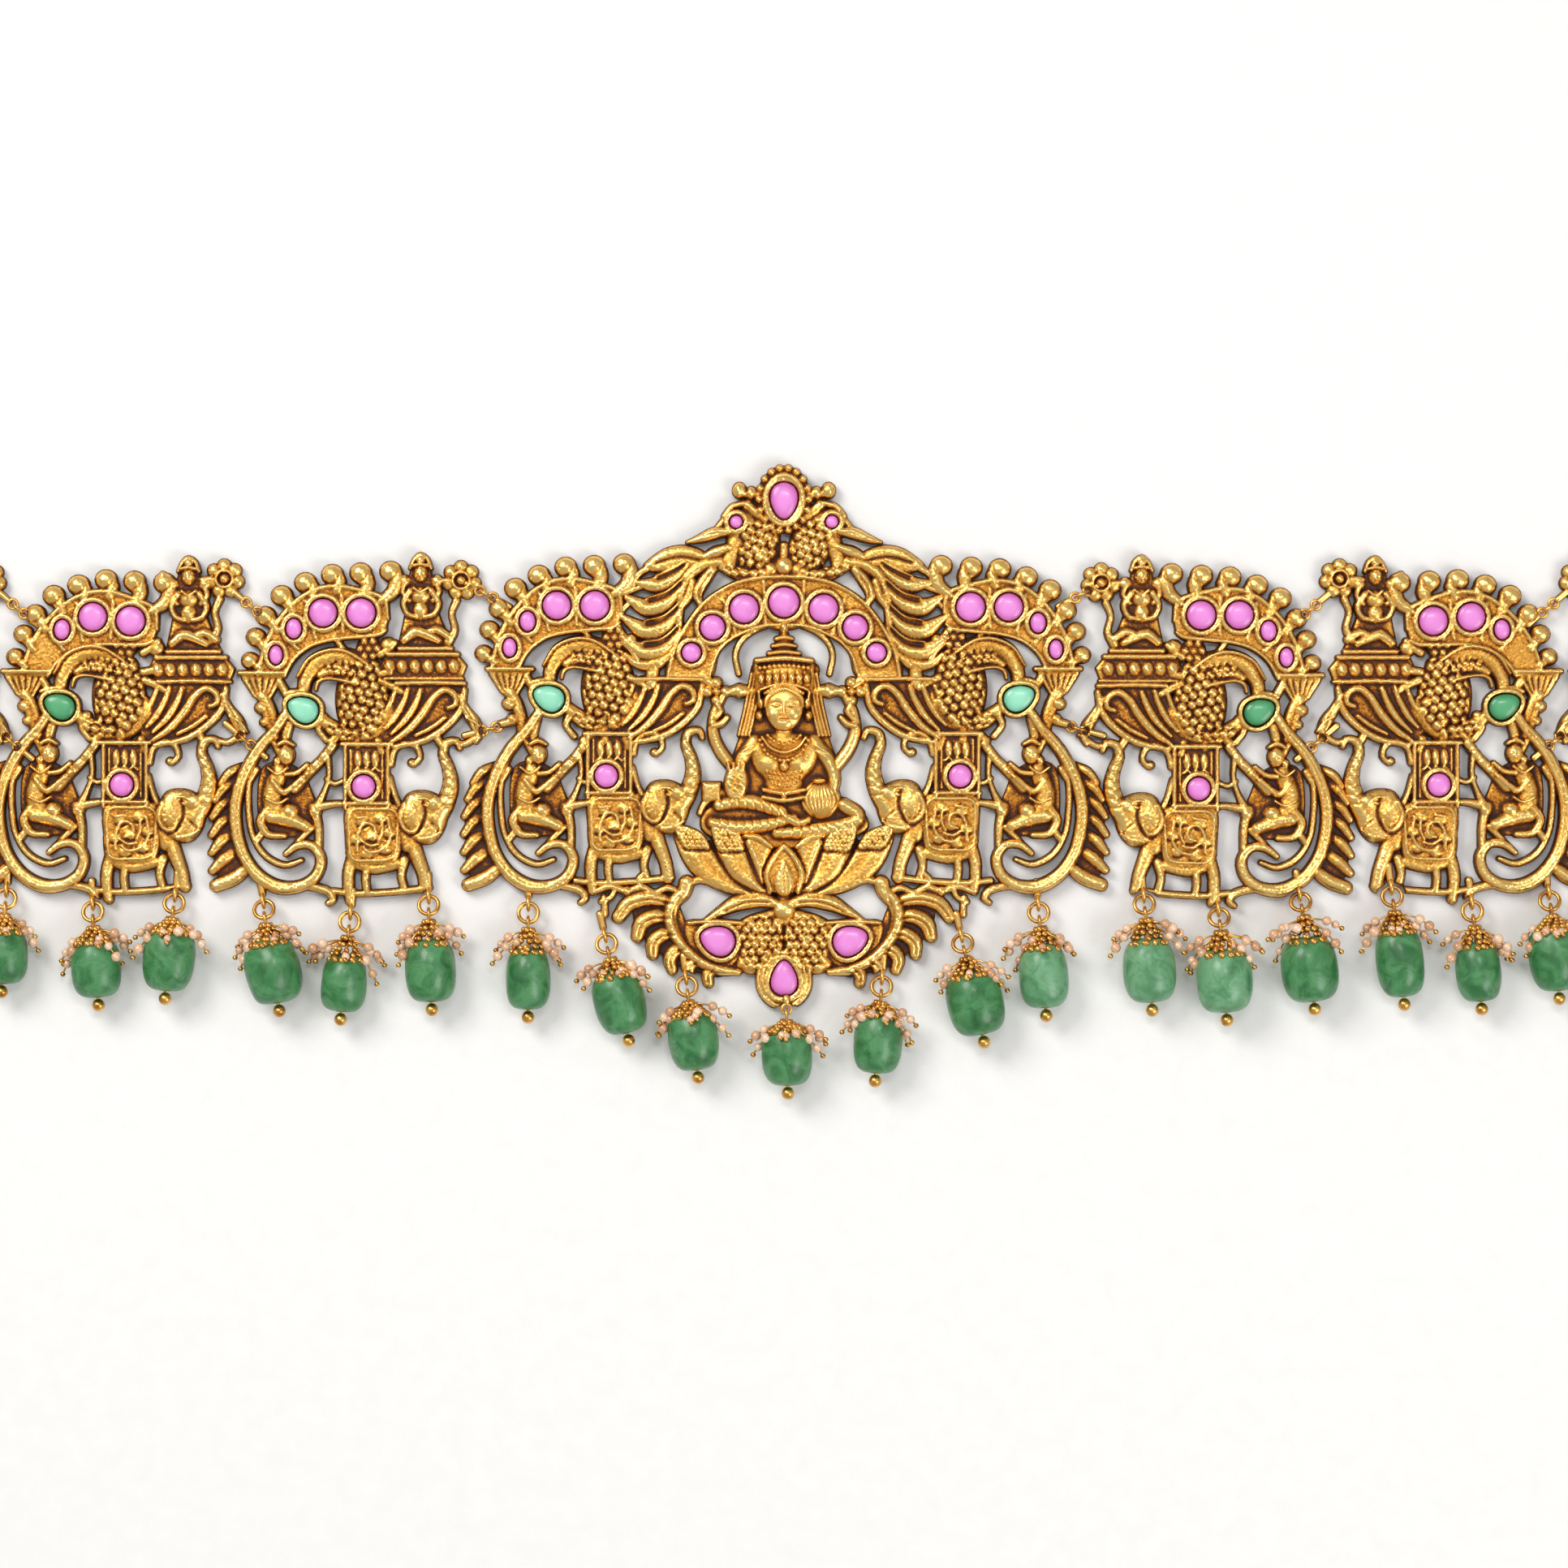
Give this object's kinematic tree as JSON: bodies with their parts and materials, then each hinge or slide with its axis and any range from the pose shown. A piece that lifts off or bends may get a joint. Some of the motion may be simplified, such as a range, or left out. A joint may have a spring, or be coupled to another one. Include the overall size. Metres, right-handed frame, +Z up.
{
  "type": "waist belt",
  "caption": "Temple-style waist belt of pierced cast plaques with a seated goddess, peacocks and elephants, pink and green stones, green bead drops and a plain chain back",
  "frame": {"origin": "middle of the centre plaque's flat back, on the table", "axes": "+X along the belt to the right as seen from above, +Y to the belt's upper edge, +Z up out of the face"},
  "size_m": [0.322, 0.1802, 0.0085],
  "materials": {
    "antique_gold": "cast, warm gold with a dark brown patina in the recesses",
    "polished_gold": "bright drawn wire",
    "pink_stone": "opaque, softly polished",
    "green_stone": "opaque, softly polished",
    "green_bead": "tumbled and polished, faintly banded",
    "seed_pearl": "peach pearl lustre; slot of the scene's seed pearls"
  },
  "bodies": {
    "root": {"plaque_centre": "antique_gold", "plaque_left_1": "antique_gold", "plaque_left_2": "antique_gold", "plaque_left_3": "antique_gold", "plaque_right_1": "antique_gold", "plaque_right_2": "antique_gold", "plaque_right_3": "antique_gold", "pinks_centre": "pink_stone", "pinks_left_0": "pink_stone", "pinks_left_1": "pink_stone", "pinks_left_2": "pink_stone", "pinks_left_3": "pink_stone", "pinks_right_0": "pink_stone", "pinks_right_1": "pink_stone", "pinks_right_2": "pink_stone", "pinks_right_3": "pink_stone", "greens_left": "green_stone", "greens_right": "green_stone", "drop_rings": "polished_gold", "head_pins": "polished_gold", "link_rings": "polished_gold", "chain_left": "polished_gold", "chain_right": "polished_gold", "end_ring": "polished_gold", "hook": "polished_gold", "bead_01": "green_bead", "bead_02": "green_bead", "bead_03": "green_bead", "bead_04": "green_bead", "bead_05": "green_bead", "bead_06": "green_bead", "bead_07": "green_bead", "bead_08": "green_bead", "bead_09": "green_bead", "bead_10": "green_bead", "bead_11": "green_bead", "bead_12": "green_bead", "bead_13": "green_bead", "bead_14": "green_bead", "bead_15": "green_bead", "bead_16": "green_bead", "bead_17": "green_bead", "bead_18": "green_bead", "bead_19": "green_bead", "bead_20": "green_bead", "bead_21": "green_bead", "bead_22": "green_bead", "bead_23": "green_bead", "bead_24": "green_bead", "bead_25": "green_bead"}
  },
  "joints": []
}
